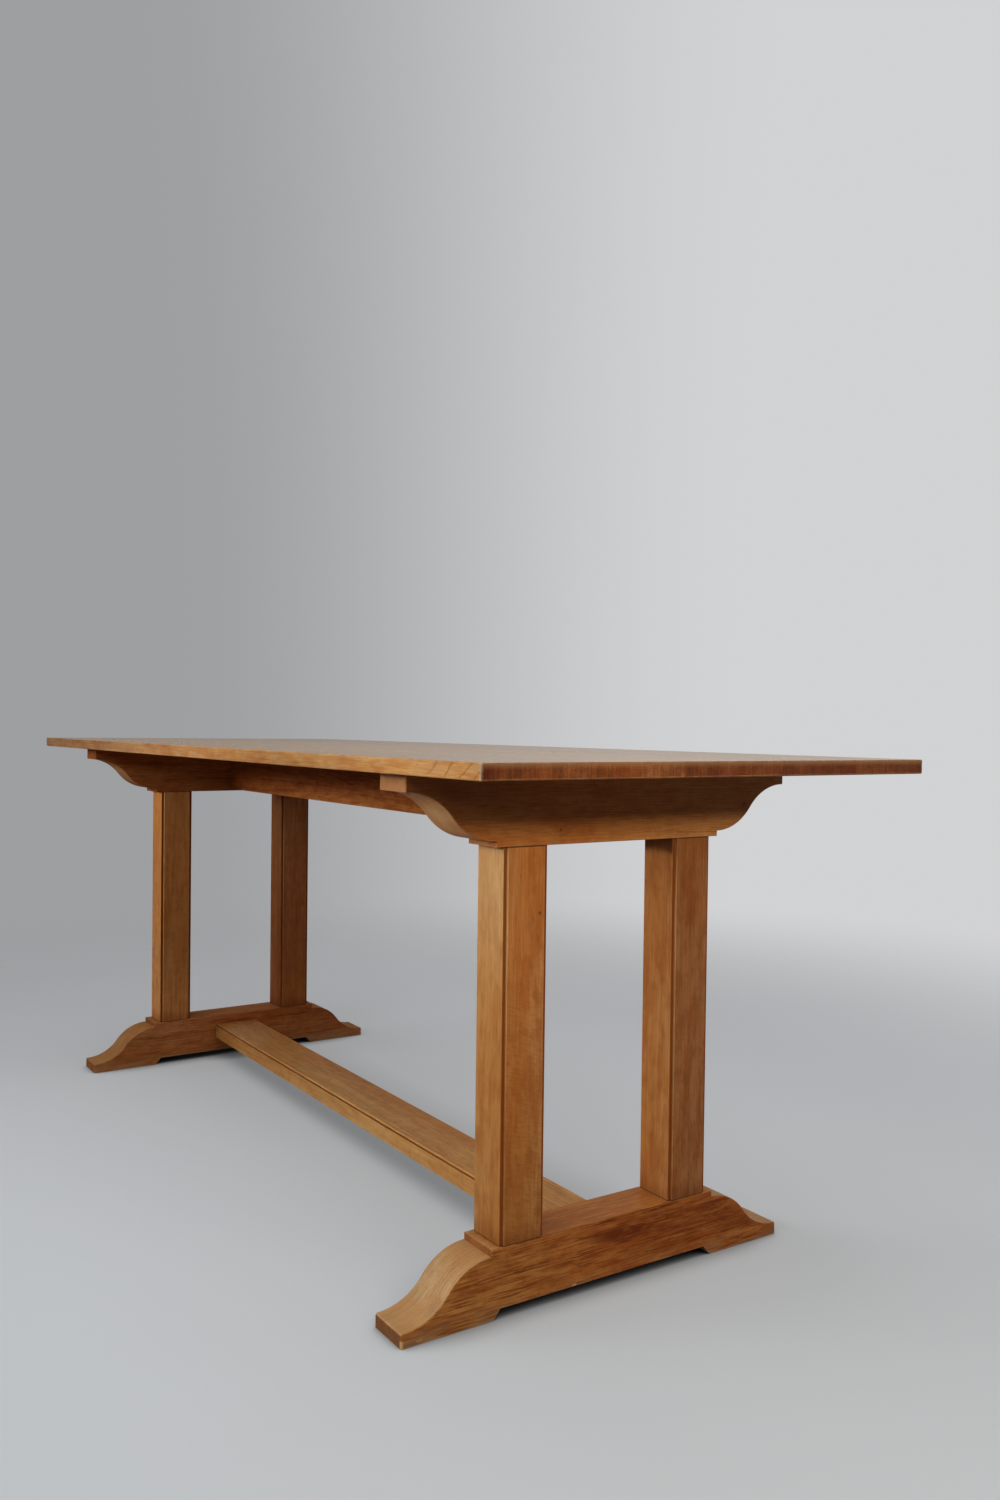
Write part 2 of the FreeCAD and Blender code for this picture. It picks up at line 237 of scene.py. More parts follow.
# The posts and feet.
# Painted shade: the front posts darken towards the floor.
FRONT_POST_FADE = (0.60, 0.10, 0.0, 0.42)
POST_BASE = (0.126, 0.0957, 0.0, 0.85)
FOOT_TURN = (-0.24, 0.04)
FOOT_ABOVE = (0.80, 0.97, 0.0, 0.30)
FOOT_DUST = (0.030, 0.0, 0.0, 0.5)
UPRIGHT_FACING = (0.85, 0.97)

# A recessed ledge: the axis that it faces along, where the piece is centred on that axis, and how far out the
# ledge is. The same three for the riser that climbs from the ledge to the raised field.
Ledge = namedtuple("Ledge", "axis centre out riser_axis riser_centre riser_out")
POST_PLACE = (0.7115, 0.1484)
POST_LEDGE = 0.0315
POST_RISER = 0.0302
LEDGE_MARGIN = 0.0008
LEDGE_FACING = (0.8, 0.95, 0.0, 0.92)
RISER_MARGIN = 0.0005
RISER_WEAR = 0.45
RISER_FADE = (0.25, 0.50, 0.25, 1.0)


def post_ledge(side, depth):
    return Ledge(0, side * POST_PLACE[0], POST_LEDGE, 1, depth * POST_PLACE[1], POST_RISER)


LEDGES = {
    "right_front_post": post_ledge(1, -1),
    "right_back_post": post_ledge(1, 1),
    "left_front_post": post_ledge(-1, -1),
    "left_back_post": post_ledge(-1, 1),
    "stretcher": Ledge(2, 0.0600, 0.0115, 1, 0.0, 0.0465),
}

# Joint lines: the axis that they cross, and where.
Joints = namedtuple("Joints", "axis places")
POST_JOINTS = Joints(2, (0.0957, 0.6298))
CROSS_JOINTS = Joints(0, (-0.6765, 0.6765))
JOINTS = {
    "right_front_post": POST_JOINTS,
    "right_back_post": POST_JOINTS,
    "left_front_post": POST_JOINTS,
    "left_back_post": POST_JOINTS,
    "stretcher": CROSS_JOINTS,
    "centre_rail": CROSS_JOINTS,
}
JOINT_LINE = 0.0013
JOINT_DEPTH = 0.8

# One piece of oak. grain is the axis that its fibres follow. pith is where the middle of the tree would pass,
# on the two other axes, and lean how that line drifts per metre of grain. ring is the width of a year's
# growth. tone scales the colour. streak, dash, figure, ripple and russet are the strengths of the long dark
# streaks, the short ones, the ray flecks, the figure across the grain and the russet patches.
Look = namedtuple("Look", "grain pith lean ring seed tone streak dash figure ripple russet end")
LOOKS = {
    "top_board_1": Look(
        "x", (-0.30, 0.66), (0.010, 0.016), 0.0034, 1.0, (1.00, 0.98, 0.86),
        streak=0.50, dash=0.40, figure=0.25, ripple=0.1, russet=0.54, end=DARK_END),
    "top_board_2": Look(
        "x", (-0.16, 0.58), (-0.008, 0.010), 0.0028, 2.0, (1.04, 1.04, 0.90),
        streak=0.50, dash=0.40, figure=0.30, ripple=0.1, russet=0.46, end=DARK_END),
    "top_board_3": Look(
        "x", (0.03, 0.69), (0.012, -0.014), 0.0036, 3.0, (1.08, 1.06, 0.92),
        streak=0.55, dash=0.40, figure=0.25, ripple=0.1, russet=0.46, end=SHADED_END),
    "top_board_4": Look(
        "x", (0.30, 0.72), (0.006, 0.008), 0.0026, 4.0, (0.90, 0.86, 0.78),
        streak=0.60, dash=0.40, figure=0.35, ripple=0.1, russet=0.46, end=SHADED_END),
    "top_board_5": Look(
        "x", (0.33, 0.86), (-0.010, 0.012), 0.0032, 5.0, (0.94, 0.90, 0.80),
        streak=0.58, dash=0.40, figure=0.25, ripple=0.1, russet=0.46, end=SHADED_END),
    "right_bearer": Look(
        "y", (0.60, 0.62), (0.010, 0.006), 0.0030, 6.0, (1.04, 0.93, 0.96),
        streak=0.17, dash=0.30, figure=0.25, ripple=0.1, russet=0.44, end=WORN_END),
    "left_bearer": Look(
        "y", (-0.82, 0.74), (-0.010, 0.012), 0.0030, 7.0, (0.84, 0.58, 0.52),
        streak=0.50, dash=0.50, figure=0.25, ripple=0.1, russet=0.36, end=WORN_END),
    "right_front_post": Look(
        "z", (0.66, 0.06), (0.010, 0.012), 0.0026, 8.0, (1.04, 1.05, 1.08),
        streak=0.20, dash=0.14, figure=0.12, ripple=0.28, russet=0.54, end=BARE_END),
    "right_back_post": Look(
        "z", (0.84, 0.26), (-0.010, 0.006), 0.0028, 9.0, (0.81, 0.70, 0.68),
        streak=0.28, dash=0.16, figure=0.12, ripple=0.1, russet=0.50, end=BARE_END),
    "left_front_post": Look(
        "z", (-0.64, 0.02), (0.006, -0.010), 0.0028, 10.0, (1.28, 1.19, 1.32),
        streak=0.28, dash=0.16, figure=0.12, ripple=0.1, russet=0.26, end=BARE_END),
    "left_back_post": Look(
        "z", (-0.80, 0.30), (0.010, 0.008), 0.0030, 11.0, (0.77, 0.59, 0.70),
        streak=0.28, dash=0.16, figure=0.12, ripple=0.1, russet=0.30, end=BARE_END),
    "right_foot": Look(
        "y", (0.613, -0.018), (0.004, 0.006), 0.0040, 12.0, (0.90, 0.65, 0.46),
        streak=0.30, dash=1.00, figure=0.15, ripple=0.1, russet=0.54, end=RUBBED_END),
    "left_foot": Look(
        "y", (-0.60, -0.04), (-0.010, 0.010), 0.0036, 13.0, (0.94, 0.71, 0.75),
        streak=0.45, dash=0.70, figure=0.15, ripple=0.1, russet=0.38, end=BROWN_END),
    "stretcher": Look(
        "x", (0.05, -0.10), (0.008, 0.010), 0.0032, 14.0, (0.97, 0.96, 0.94),
        streak=0.24, dash=0.20, figure=0.15, ripple=0.1, russet=0.26, end=BARE_END),
    "centre_rail": Look(
        "x", (-0.14, 0.66), (0.006, 0.008), 0.0030, 15.0, (0.66, 0.40, 0.33),
        streak=0.50, dash=0.50, figure=0.15, ripple=0.1, russet=0.40, end=BARE_END),
}
TONGUE_LOOK = Look(
    "x", (0.0, 0.60), (0.0, 0.0), 0.0030, 16.0, (0.95, 0.95, 0.95),
    streak=0.35, dash=0.20, figure=0.20, ripple=0.1, russet=0.30, end=DARK_END)

# A knot or a dark patch at a place: how far it reaches along each axis, by how much it bends the rings, the
# size of its dark heart, and how strongly it stains the wood around it.
Knot = namedtuple("Knot", "place reach push heart stain")
KNOTS = {
    "right_foot": (
        Knot((0.7465, 0.232, 0.045), (0.08, 0.055, 0.060), 0.014, 0.0, 0.55),
        Knot((0.7465, 0.022, 0.071), (0.08, 0.095, 0.025), 0.003, 0.0, 1.10),
        Knot((0.7465, 0.105, 0.074), (0.08, 0.060, 0.021), 0.0, 0.0, 0.65),
        Knot((0.7465, 0.115, 0.050), (0.08, 0.140, 0.050), 0.0, 0.0, 0.62),
        Knot((0.7465, 0.200, 0.075), (0.08, 0.070, 0.036), 0.003, 0.0, 0.70),
    ),
    "right_front_post": (Knot((0.7465, -0.1263, 0.5385), (0.02, 0.02, 0.03), 0.005, 0.0040, 0.2),),
    "right_bearer": (
        Knot((0.7465, -0.0929, 0.6495), (0.02, 0.02, 0.02), 0.005, 0.0036, 0.2),
        Knot((0.7465, 0.2519, 0.6763), (0.03, 0.03, 0.03), 0.008, 0.0060, 0.3),
    ),
}

# A crack, chip or scuff: a straight mark between two places, with its half width, colour and strength.
Mark = namedtuple("Mark", "start end width tint strength")
MARKS = {
    "right_bearer": (Mark((0.7465, 0.119, 0.6387), (0.7465, 0.210, 0.6356), 0.0007, PORE, 0.85),),
    "right_foot": (
        Mark((0.7465, -0.062, 0.0155), (0.7465, -0.057, 0.0160), 0.0016, WORN, 0.70),
        Mark((0.7465, -0.310, 0.0045), (0.7465, -0.303, 0.0052), 0.0015, WORN, 0.45),
        Mark((0.7455, -0.3325, 0.0020), (0.7455, -0.3325, 0.0080), 0.0035, WORN, 0.70),
    ),
}

# A part of one face that is darker, paler or dirtier than the rest, or that carries painted light, shade or
# sheen where marked: its middle and its reach along each axis, the way that the face looks, its colour, how
# that is laid on, and its strength.
Patch = namedtuple("Patch", "place reach facing tint blend strength", defaults=("MULTIPLY", 1.0))
TO_FRONT = (0.0, -1.0, 0.0)
TO_RIGHT = (1.0, 0.0, 0.0)
WHOLE_FACE = (2.0, 2.0, 2.0)
PATCHES = {
    "top_board_1": (
        Patch((0.45, -0.372, 0.740), (0.40, 0.10, 0.10), TO_FRONT, (0.76, 0.75, 0.70, 1.0)),
        Patch((0.977, -0.369, 0.736), (0.20, 0.034, 0.020), TO_RIGHT, (0.46, 0.30, 0.36, 1.0), strength=0.9),
    ),
    "right_front_post": (
        # Painted sheen on the top of the front face.
        Patch((0.7115, -0.1841, 0.610), (0.20, 0.20, 0.24), TO_FRONT, SHEEN, "MIX", 0.22),
        # Painted shade over the whole front face.
        Patch((0.7115, -0.1841, 0.360), WHOLE_FACE, TO_FRONT, (0.91, 0.92, 0.91, 1.0)),
        # Painted shadow of the bearer across the top of the front face.
        Patch((0.7115, -0.1841, 0.632), (0.20, 0.20, 0.016), TO_FRONT, BEARER_SHADOW, strength=0.8),
        Patch((0.7465, -0.1484, 0.480), (1.00, 1.00, 0.50), TO_RIGHT, (1.09, 0.98, 1.02, 1.0)),
    ),
    "right_back_post": (
        # Painted shadow of the bearer across the top of the front face.
        Patch((0.7115, 0.1127, 0.632), (0.20, 0.20, 0.032), TO_FRONT, BEARER_SHADOW, strength=0.9),
        # Painted light on the lower part of the front face.
        Patch((0.7115, 0.1127, 0.160), (0.20, 0.20, 0.400), TO_FRONT, (1.14, 1.20, 1.24, 1.0)),
        # Painted shade over the whole right face.
        Patch((0.7465, 0.1484, 0.360), WHOLE_FACE, TO_RIGHT, (0.80, 0.77, 0.90, 1.0)),
    ),
    "left_back_post": (
        # Painted shade over the whole front face.
        Patch((-0.7115, 0.1127, 0.360), WHOLE_FACE, TO_FRONT, (0.77, 0.76, 0.77, 1.0)),
    ),
    "right_bearer": (
        # Painted sheen on the front end.
        Patch((0.7115, -0.3335, 0.715), (0.20, 0.20, 0.20), TO_FRONT, SHEEN, "MIX", 0.08),
        # Painted shadow of the top on the front part of the right face.
        Patch((0.7465, -0.275, 0.702), (0.30, 0.200, 0.056), TO_RIGHT, (0.62, 0.56, 0.54, 1.0)),
    ),
    "right_foot": (
        Patch((0.7115, -0.3335, 0.005), (0.20, 0.20, 0.05), TO_FRONT, (0.70, 0.60, 0.48, 1.0)),
    ),
    "left_foot": (
        Patch((-0.6765, 0.210, 0.050), (0.30, 0.250, 0.20), TO_RIGHT, (0.76, 0.79, 0.90, 1.0)),
    ),
    "centre_rail": (
        # Painted light along the lower band of the front face.
        Patch((-0.10, -0.0185, 0.634), (0.80, 0.10, 0.026), TO_FRONT, (1.22, 1.38, 1.36, 1.0)),
    ),
}


class Nodes:
    """Adds nodes to one tree and links them as they are made."""

    def __init__(self, tree):
        self.tree = tree
        tree.nodes.clear()

    def add(self, kind, inputs=None, out=0, **settings):
        node = self.tree.nodes.new("ShaderNode" + kind)
        for key, value in settings.items():
            setattr(node, key, value)
        for key, value in (inputs or {}).items():
            self.put(node.inputs[key], value)
        return node.outputs[out] if len(node.outputs) else node

    def put(self, socket, value):
        if isinstance(value, bpy.types.NodeSocket):
            self.tree.links.new(value, socket)
        else:
            socket.default_value = value

    def math(self, operation, *values):
        return self.add("Math", dict(enumerate(values)), operation=operation)

    def vector(self, operation, *values):
        return self.add("VectorMath", dict(enumerate(values)), operation=operation)

    def length(self, vector):
        return self.add("VectorMath", {0: vector}, out="Value", operation="LENGTH")

    def dot(self, a, b):
        return self.add("VectorMath", {0: a, 1: b}, out="Value", operation="DOT_PRODUCT")

    def split(self, vector):
        node = self.tree.nodes.new("ShaderNodeSeparateXYZ")
        self.put(node.inputs[0], vector)
        return tuple(node.outputs)

    def join(self, x, y, z):
        return self.add("CombineXYZ", {0: x, 1: y, 2: z})

    def mix(self, factor, a, b, blend="MIX"):
        return self.add("Mix", {0: factor, 6: a, 7: b}, out=2, data_type="RGBA", blend_type=blend)

    def span(self, value, low, high, to_low=0.0, to_high=1.0):
        inputs = {"Value": value, "From Min": low, "From Max": high, "To Min": to_low, "To Max": to_high}
        return self.add("MapRange", inputs, interpolation_type="SMOOTHSTEP")

    def size_span(self, value, *levels):
        """The span of a value without its sign."""
        return self.span(self.math("ABSOLUTE", value), *levels)

    def layer(self, vector, layer, seed=0.0):
        shift = [(seed + layer.offset) * part for part in SEED_SHIFT]
        moved = self.add("Mapping", {"Vector": vector, "Location": shift, "Scale": layer.scale})
        inputs = {"Vector": moved, "Scale": 1.0, "Detail": layer.detail}
        inputs["Roughness"] = layer.roughness
        inputs["Distortion"] = layer.distortion
        value = self.add("TexNoise", inputs)
        return self.span(value, *layer.rise) if layer.rise else value

    def line_noise(self, value, rate, seed, out="Fac"):
        place = self.math("MULTIPLY_ADD", value, rate, seed)
        inputs = {"W": place, "Scale": 1.0, "Detail": 1.0}
        return self.add("TexNoise", inputs, out=out, noise_dimensions="1D")

    def ramp(self, value, stops):
        node = self.tree.nodes.new("ShaderNodeValToRGB")
        while len(node.color_ramp.elements) < len(stops):
            node.color_ramp.elements.new(1.0)
        for element, (position, level) in zip(node.color_ramp.elements, stops):
            element.position = position
            element.color = (level, level, level, 1.0)
        self.put(node.inputs[0], value)
        return node.outputs[0]


def new_material(name):
    material = bpy.data.materials.new(name)
    material.use_nodes = True
    return material, Nodes(material.node_tree)


def locate(n, look):
    """Where a point of the surface is in the tree that the piece was cut from."""
    order = GRAIN_ORDER[look.grain]
    place = n.add("TexCoord", out="Object")
    facing = n.add("NewGeometry", out="Normal")
    normal = n.split(facing)
    at = SimpleNamespace(place=place, facing=facing, normal=normal, axes=n.split(place))
    at.along, at.across, at.up = (at.axes[i] for i in order)
    at.facing_along, at.facing_across, at.facing_up = (normal[i] for i in order)
    at.fibre = n.join(at.along, at.across, at.up)
    drift = n.split(n.line_noise(at.along, DRIFT_RATE, look.seed, out="Color"))
    offsets = []
    for value, pith, lean, sway in zip((at.across, at.up), look.pith, look.lean, drift):
        offset = n.math("MULTIPLY_ADD", at.along, lean, n.math("SUBTRACT", value, pith + DRIFT / 2))
        offsets.append(n.math("MULTIPLY_ADD", sway, DRIFT, offset))
    at.off_across, at.off_up = offsets
    square = n.math("MULTIPLY", at.off_up, at.off_up)
    at.radius = n.math("SQRT", n.math("MULTIPLY_ADD", at.off_across, at.off_across, square))
    at.angle = n.math("ARCTAN2", at.off_up, at.off_across)
    return at


def near(n, at, place, reach):
    """1 at a place, falling to 0 at its reach along each axis."""
    away = n.vector("DIVIDE", n.vector("SUBTRACT", at.place, place), reach)
    return n.span(n.length(away), 1.0, 0.0)


def year_rings(n, look, at, knots):
    """The early wood of each year, from 0 to 1, and the stain around the knots that bend the rings."""
    warp = n.layer(at.fibre, WARP, look.seed)
    pace = n.line_noise(at.radius, PACE_RATE, look.seed + PACE_OFFSET)
    rings = n.math("MULTIPLY_ADD", warp, WARP_DEPTH, n.math("MULTIPLY", at.radius, 1.0 / look.ring))
    stain = 0.0
    for knot in knots:
        here = near(n, at, knot.place, knot.reach)
        rings = n.math("MULTIPLY_ADD", here, knot.push / look.ring, rings)
        stain = n.math("MULTIPLY_ADD", here, knot.stain, stain)
    rings = n.math("FRACT", n.math("MULTIPLY_ADD", pace, PACE_DEPTH, rings))
    return n.ramp(rings, RING_STOPS), stain


def radial_cut(n, at):
    """1 where the face runs along the rays, so that they show as flecks."""
    skew = n.math("MULTIPLY", at.off_up, at.facing_across)
    side = n.math("SUBTRACT", n.math("MULTIPLY", at.off_across, at.facing_up), skew)
    return n.span(n.math("DIVIDE", n.math("ABSOLUTE", side), at.radius), *RADIAL_CUT)


def rippled(n, look, at):
    """The figure across the grain, which fades along the piece."""
    leaning = n.math("MULTIPLY_ADD", at.up, RIPPLE_SLANT, at.along)
    slanted = n.join(n.math("MULTIPLY_ADD", at.across, RIPPLE_SLANT, leaning), at.across, at.up)
    facing = n.size_span(at.facing_across, *RIPPLE_FACING)
    ripple = n.math("MULTIPLY", n.layer(slanted, RIPPLE, look.seed), facing)
    return n.math("MULTIPLY", ripple, n.span(at.along, *RIPPLE_FADE))


def growth(n, look, at, knots):
    """The marks that the tree's growth leaves: rings, pores, rays and streaks, each from 0 to 1."""
    seed = look.seed
    marks = SimpleNamespace()
    marks.early, marks.stain = year_rings(n, look, at, knots)
    porous = n.math("MULTIPLY_ADD", marks.early, PORES_OF_EARLY, PORES_EVERYWHERE)
    marks.pores = n.math("MULTIPLY", n.layer(at.fibre, PORES, seed), porous)
    turn = n.math("MULTIPLY", at.angle, RAY_RADIUS)
    marks.rays = n.layer(n.join(at.along, at.radius, turn), RAYS, seed)
    marks.radial = radial_cut(n, at)
    marks.ripple = rippled(n, look, at)
    marks.streaks = n.layer(at.fibre, STREAKS, seed)
    marks.threads = n.layer(at.fibre, THREADS, seed)
    marks.dashes = n.layer(at.fibre, DASHES, seed)
    marks.flames = n.layer(at.fibre, FLAMES, seed)
    marks.broad = n.layer(at.fibre, BROAD, seed)
    marks.blush = n.layer(at.fibre, BLUSH, seed)
    marks.silk = n.layer(at.fibre, SILK, seed)
    marks.mottle = n.layer(at.fibre, MOTTLE, seed)
    return marks


def grown_colour(n, look, at, marks, knots):
    """The colour of the fresh wood, layer on layer."""
    streaked = n.math("MULTIPLY_ADD", marks.streaks, DASHES_OF_STREAKS, 1.0 - DASHES_OF_STREAKS)
    flamed = n.math("MULTIPLY_ADD", marks.flames, 1.0 - FLAMES_EVERYWHERE, FLAMES_EVERYWHERE)
    layers = (
        (n.span(marks.blush, *BLUSH_RISE, 0.0, look.russet), RUSSET),
        (n.math("MULTIPLY", marks.streaks, STREAK_DEPTH * look.streak), BROWN),
        (n.math("MULTIPLY", marks.early, EARLY_DEPTH * look.streak), BROWN),
        (n.math("MULTIPLY", marks.threads, THREAD_DEPTH * look.streak), BROWN),
        (n.math("MULTIPLY", flamed, marks.stain), FLAME),
        (n.math("MULTIPLY", n.math("MULTIPLY", marks.dashes, streaked), look.dash), FLAME),
        (n.span(marks.silk, *SILK_RISE), BROWN),
        (n.span(marks.mottle, *MOTTLE_RISE), BROWN),
        (n.math("MULTIPLY", marks.ripple, look.ripple), BROWN),
        (n.math("MULTIPLY", marks.pores, PORE_DEPTH + PORE_DEPTH_OF_DASH * look.dash), PORE),
        (n.math("MULTIPLY", marks.rays, n.math("MULTIPLY", marks.radial, look.figure)), PALE),
        (n.math("MULTIPLY", marks.rays, n.math("MULTIPLY_ADD", marks.radial, -RAY_DEPTH, RAY_DEPTH)), BROWN),
    )
    colour = n.mix(n.span(marks.broad, *BROAD_RISE), GOLD, PALE)
    for amount, tint in layers:
        colour = n.mix(amount, colour, tint)
    for knot in knots:
        if knot.heart:
            heart = near(n, at, knot.place, (knot.heart,) * 3)
            colour = n.mix(n.math("MULTIPLY", heart, HEART_DEPTH), colour, PORE)
    return colour


def cut_ends(n, name, look, at, colour):
    """The colour of end grain, with the fine lines of the cut fibres."""
    end = look.end
    crossed = n.size_span(at.facing_along, *CUT_FACING)
    if name.endswith("foot"):
        beyond = n.size_span(at.along, *OGEE_SPAN)
        crossed = n.math("MULTIPLY", beyond, n.size_span(at.facing_across, *OGEE_FACING))
    if end.blend == "MIX":
        sloping = n.size_span(at.normal[2], *CUT_SLOPE)
        blotch = n.layer(at.fibre, CUT_BLOTCH, look.seed)
        crossed = n.math("MULTIPLY", crossed, n.math("MULTIPLY", sloping, blotch))
    colour = n.mix(n.math("MULTIPLY", crossed, end.strength), colour, end.tint, end.blend)
    cloud = n.math("MULTIPLY", n.layer(at.fibre, CUT_CLOUD, look.seed), CUT_CLOUD_SHARE)
    lines = n.math("MULTIPLY_ADD", n.layer(at.fibre, CUT_LINES, look.seed), CUT_LINES_SHARE, cloud)
    shade = n.math("MULTIPLY", lines, end.lines)
    return n.mix(n.math("MULTIPLY", shade, crossed), colour, END_LINE)


def board_joints(n, at, colour, worn):
    """Fine dark lines between the boards, whose arrises there are not worn."""
    for place in BOARD_JOINTS:
        gap = n.math("ABSOLUTE", n.math("SUBTRACT", at.axes[1], place))
        worn = n.math("MULTIPLY", worn, n.span(gap, *UNWORN_JOINT))
        colour = n.mix(n.span(gap, *BOARD_LINE), colour, GRIME_AND_SHADE)
    return colour, worn


def long_edges(n, look, at, colour, patchy):
    """Straw and russet on the long edges of the top, which darken towards the left end."""
    sideways = n.size_span(at.facing_across, *SIDE_FACING)
    straw = n.math("MULTIPLY", patchy, EDGE_STRAW)
    colour = n.mix(n.math("MULTIPLY", sideways, straw), colour, STRAW)
    flecks = n.layer(at.fibre, FLECKS, look.seed)
    colour = n.mix(n.math("MULTIPLY", sideways, flecks), colour, RUSSET)
    faraway = n.math("MULTIPLY", sideways, n.span(at.axes[0], *EDGE_FAR_SPAN))
    return n.mix(faraway, colour, EDGE_FAR, "MULTIPLY")


def rubbed_top(n, look, at, colour):
    """Ragged corners, an upper face made paler by bleaching and by painted sheen, and ends that are rubbed
    high and low.
    """
    ragged = n.layer(at.place, RAGGED, look.seed)
    margins = []
    for axis, half in enumerate(TOP_HALF):
        margin = n.math("SUBTRACT", half, n.math("ABSOLUTE", at.axes[axis]))
        margins.append(n.math("MULTIPLY_ADD", ragged, CORNER_RAGGED, margin))
    colour = n.mix(n.span(n.math("MAXIMUM", *margins), *CORNER_SPAN), colour, CORNER_WORN)
    # The upper face is paler: partly bleaching, partly painted sheen.
    colour = n.mix(n.span(at.normal[2], *BLEACH_AND_SHEEN_FACING), colour, BLEACHED_AND_SHEEN)
    rubbed = n.math("ADD", n.span(at.axes[2], *RUBBED_HIGH), n.span(at.axes[2], *RUBBED_LOW))
    ends = n.size_span(at.facing_along, *SIDE_FACING)
    return n.mix(n.math("MULTIPLY", rubbed, ends), colour, RUBBED)


def worn_and_shaded_edges(n, name, look, at, colour, patchy):
    """Arrises rubbed pale, and wax, dirt and painted shade in the corners."""
    is_board = name.startswith("top_board")
    wear = TOP_WEAR if is_board else FRAME_WEAR
    inside = {"inside": True, "only_local": True}
    inner = n.add("AmbientOcclusion", {"Distance": ARRIS_REACH}, out="AO", samples=ARRIS_SAMPLES, **inside)
    worn = n.math("MULTIPLY", n.span(inner, *ARRIS_SPAN, 0.0, wear), patchy)
    # Wax, dirt and painted shade darken the corners and the places between parts.
    outer = n.add("AmbientOcclusion", {"Distance": NOOK_REACH}, out="AO", samples=NOOK_SAMPLES)
    nook = n.span(outer, *NOOK_SPAN)
    worn = n.math("MULTIPLY", worn, n.math("SUBTRACT", 1.0, nook))
    if is_board:
        colour, worn = board_joints(n, at, colour, worn)
        colour = long_edges(n, look, at, colour, patchy)
        colour = rubbed_top(n, look, at, colour)
    colour = n.mix(worn, colour, WORN)
    return n.mix(n.math("MULTIPLY", nook, NOOK_DIRT_AND_SHADE), colour, GRIME_AND_SHADE)


def run_out(n, look, at, colour):
    """Dark slanting lines where the grain runs out of the front edge, near one corner of the top."""
    wobble = n.math("MULTIPLY", n.layer(at.fibre, WOBBLE, look.seed), RUN_OUT_WOBBLE)
    slant = n.math("MULTIPLY_ADD", at.axes[2], -RUN_OUT_SLANT, at.axes[0])
    phase = n.math("MULTIPLY_ADD", slant, 1.0 / RUN_OUT_PITCH, wobble)
    line = n.ramp(n.math("FRACT", phase), RUN_OUT_STOPS)
    where = n.span(at.axes[0], *RUN_OUT_SPAN)
    front = n.span(at.normal[1], *RUN_OUT_FACING)
    return n.mix(n.math("MULTIPLY", n.math("MULTIPLY", where, front), line), colour, BROWN)


def handled_and_shaded(n, name, at, colour, patchy):
    """The front posts darken towards the floor, as painted shade; every post darkens just above its foot; and
    the feet are dusty, with dirty ends.
    """
    height = at.axes[2]
    # Painted shade: the front posts darken towards the floor.
    if name.endswith("front_post"):
        colour = n.mix(n.span(height, *FRONT_POST_FADE), colour, POST_SHADE, "MULTIPLY")
    if name.endswith("post"):
        colour = n.mix(n.span(height, *POST_BASE), colour, BASE_SHADE, "MULTIPLY")
    if name.endswith("foot"):
        turned = n.mix(n.span(at.axes[1], *FOOT_TURN), FOOT_GOLDEN, FOOT_RUDDY)
        colour = n.mix(n.size_span(at.facing_across, *SIDE_FACING), colour, turned, "MULTIPLY")
        colour = n.mix(n.span(at.normal[2], *FOOT_ABOVE), colour, FOOT_TOP)
        dusty = n.math("MULTIPLY", n.span(height, *FOOT_DUST), patchy)
        colour = n.mix(dusty, colour, DUST)
    if name.endswith(("foot", "bearer")):
        colour = n.mix(n.size_span(at.facing_along, *UPRIGHT_FACING), colour, UPRIGHT_SHADE, "MULTIPLY")
    return colour


def patched(n, at, colour, patches):
    """Darker, paler and dirtier places, and painted light, shade and sheen, each on its own face."""
    for patch in patches:
        here = near(n, at, patch.place, patch.reach)
        turned = n.span(n.dot(at.facing, patch.facing), *SIDE_FACING, 0.0, patch.strength)
        colour = n.mix(n.math("MULTIPLY", here, turned), colour, patch.tint, patch.blend)
    return colour


def ledge_wax(n, ledge, at, colour):
    """Dark wax on a recessed ledge, and wear on the riser beside it."""
    out = n.math("ABSOLUTE", n.math("SUBTRACT", at.axes[ledge.axis], ledge.centre))
    inset = n.span(out, ledge.out + 2 * LEDGE_MARGIN, ledge.out + LEDGE_MARGIN)
    facing = n.size_span(at.normal[ledge.axis], *LEDGE_FACING)
    colour = n.mix(n.math("MULTIPLY", inset, facing), colour, LEDGE_WAX)
    aside = n.math("ABSOLUTE", n.math("SUBTRACT", at.axes[ledge.riser_axis], ledge.riser_centre))
    riser = n.math("COMPARE", aside, ledge.riser_out, RISER_MARGIN)
    worn = n.math("MULTIPLY", n.span(at.axes[2], *RISER_FADE), RISER_WEAR)
    return n.mix(n.math("MULTIPLY", riser, worn), colour, WORN)


def joint_lines(n, joints, at, colour):
    """The dark lines where a piece meets its neighbours."""
    for place in joints.places:
        line = n.math("COMPARE", at.axes[joints.axis], place, JOINT_LINE)
        colour = n.mix(n.math("MULTIPLY", line, JOINT_DEPTH), colour, GRIME_AND_SHADE)
    return colour


def marked(n, at, colour, marks):
    """Cracks, chips and scuffs, each at its own place."""
    for mark in marks:
        start = Vector(mark.start)
        run = Vector(mark.end) - start
        away = n.vector("SUBTRACT", at.place, start)
        share = n.dot(away, run / run.length_squared)
        share = n.math("MINIMUM", n.math("MAXIMUM", share, 0.0), 1.0)
        foot = n.add("VectorMath", {0: run, "Scale": share}, operation="SCALE")
        gap = n.length(n.vector("SUBTRACT", away, foot))
        amount = n.span(gap, mark.width, MARK_CORE * mark.width, 0.0, mark.strength)
        colour = n.mix(amount, colour, mark.tint)
    return colour


